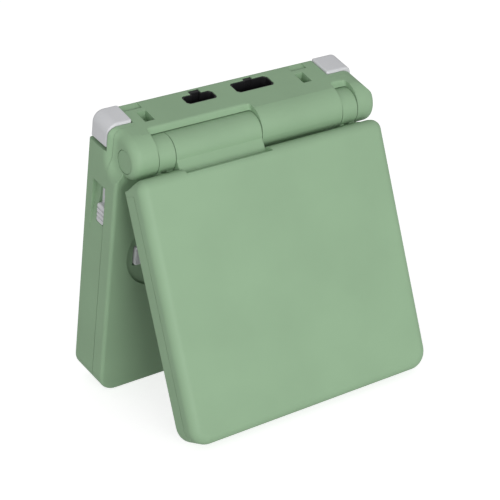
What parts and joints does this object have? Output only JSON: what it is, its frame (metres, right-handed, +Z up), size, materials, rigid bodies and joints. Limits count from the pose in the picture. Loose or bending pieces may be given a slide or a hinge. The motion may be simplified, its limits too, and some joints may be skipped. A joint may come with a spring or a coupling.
{
  "type": "handheld lcd game",
  "caption": "Folding handheld LCD game standing like a tent: green plastic halves on a hinge, screen lid, button base, grey shoulder buttons, sockets and card slot.",
  "frame": {"origin": "centre of the bounding box on the table plane under the standing game", "axes": "+Z up, X along the lid hinge (player's left to right), +Y towards the base's back face; the lid faces -Y"},
  "size_m": [0.0838, 0.0632, 0.0864],
  "materials": {
    "shell_green": "satin moulded",
    "button_grey": "satin",
    "black_plastic": "matte",
    "contact_metal": "plated",
    "steel": "plain",
    "battery_wrap": "satin",
    "circuit_board": "satin",
    "key_rubber": "matte",
    "plug_rubber": "matte",
    "indicator_plastic": "frosted",
    "clear_lens": "clear",
    "display_glass": "gloss",
    "light_guide_plastic": "frosted",
    "ribbon_film": "satin"
  },
  "bodies": {
    "base": {"action_rubber": "key_rubber", "base_back_shell": "shell_green", "base_front_shell": "shell_green", "base_screws": "steel", "battery": "battery_wrap", "battery_contacts": "contact_metal", "battery_cover": "shell_green", "battery_cover_screw": "steel", "board_chips": "black_plastic", "card_connector": "black_plastic", "card_contacts": "contact_metal", "dpad_rubber": "key_rubber", "hinge_caps": "shell_green", "hinge_cartridge": "steel", "hinge_pin": "steel", "indicator_windows": "indicator_plastic", "light_rubber": "key_rubber", "link_socket": "black_plastic", "main_board": "circuit_board", "menu_rubber": "key_rubber", "power_socket": "black_plastic", "power_switch": "black_plastic", "shoulder_pins": "steel", "shoulder_switches": "black_plastic", "socket_contacts": "contact_metal", "speaker": "black_plastic", "volume_switch": "black_plastic"},
    "lid": {"lid_outer_shell": "shell_green", "lid_bezel": "shell_green", "screen_lens": "clear_lens", "lcd_panel": "display_glass", "light_guide": "light_guide_plastic", "display_frame": "black_plastic", "screen_ribbon": "ribbon_film", "lid_screws": "steel", "screw_plugs": "plug_rubber", "hinge_shaft": "steel"},
    "left_shoulder_button": {"left_shoulder_button": "button_grey"},
    "right_shoulder_button": {"right_shoulder_button": "button_grey"},
    "volume_knob": {"volume_knob": "button_grey"},
    "power_knob": {"power_knob": "button_grey"},
    "dpad": {"dpad": "button_grey"},
    "dpad_pivot": {"dpad_pivot": "button_grey"},
    "a_button": {"a_button": "button_grey"},
    "b_button": {"b_button": "button_grey"},
    "select_button": {"select_button": "button_grey"},
    "start_button": {"start_button": "button_grey"},
    "light_button": {"light_button": "button_grey"}
  },
  "joints": [
    {"name": "lid_hinge", "type": "hinge", "parent": "base", "child": "lid", "pos_m": [0.00105, -0.00042, 0.0746], "axis": [-1, 0, 0], "range_deg": [-30.4, 104.6]},
    {"name": "dpad_left_right", "type": "hinge", "parent": "base", "child": "dpad_pivot", "pos_m": [-0.0249, 0.00977, 0.04414], "axis": [0, -0.2316, 0.9728], "range_deg": [-3.5, 3.5], "stiffness_Nm_per_rad": 0.09},
    {"name": "dpad_up_down", "type": "hinge", "parent": "dpad_pivot", "child": "dpad", "pos_m": [-0.0249, 0.00977, 0.04414], "axis": [1, 0, 0], "range_deg": [-3.5, 3.5], "stiffness_Nm_per_rad": 0.09},
    {"name": "a_press", "type": "slide", "parent": "base", "child": "a_button", "axis": [0, 0.9728, 0.2316], "range_m": [0, 0.0006], "stiffness_N_per_m": 800},
    {"name": "b_press", "type": "slide", "parent": "base", "child": "b_button", "axis": [0, 0.9728, 0.2316], "range_m": [0, 0.0006], "stiffness_N_per_m": 800},
    {"name": "select_press", "type": "slide", "parent": "base", "child": "select_button", "axis": [0, 0.9728, 0.2316], "range_m": [0, 0.0006], "stiffness_N_per_m": 800},
    {"name": "start_press", "type": "slide", "parent": "base", "child": "start_button", "axis": [0, 0.9728, 0.2316], "range_m": [0, 0.0006], "stiffness_N_per_m": 800},
    {"name": "light_press", "type": "slide", "parent": "base", "child": "light_button", "axis": [0, 0.9728, 0.2316], "range_m": [0, 0.0006], "stiffness_N_per_m": 800},
    {"name": "left_shoulder_press", "type": "hinge", "parent": "base", "child": "left_shoulder_button", "pos_m": [-0.0356, 0.0088, 0.07906], "axis": [0, -0.9728, -0.2316], "range_deg": [0, 5], "stiffness_Nm_per_rad": 0.06},
    {"name": "right_shoulder_press", "type": "hinge", "parent": "base", "child": "right_shoulder_button", "pos_m": [0.0338, 0.0088, 0.07906], "axis": [0, 0.9728, 0.2316], "range_deg": [0, 5], "stiffness_Nm_per_rad": 0.06},
    {"name": "volume_slide", "type": "slide", "parent": "base", "child": "volume_knob", "axis": [0, -0.2316, 0.9728], "range_m": [0, 0.005]},
    {"name": "power_slide", "type": "slide", "parent": "base", "child": "power_knob", "axis": [0, -0.2316, 0.9728], "range_m": [0, 0.003]}
  ]
}
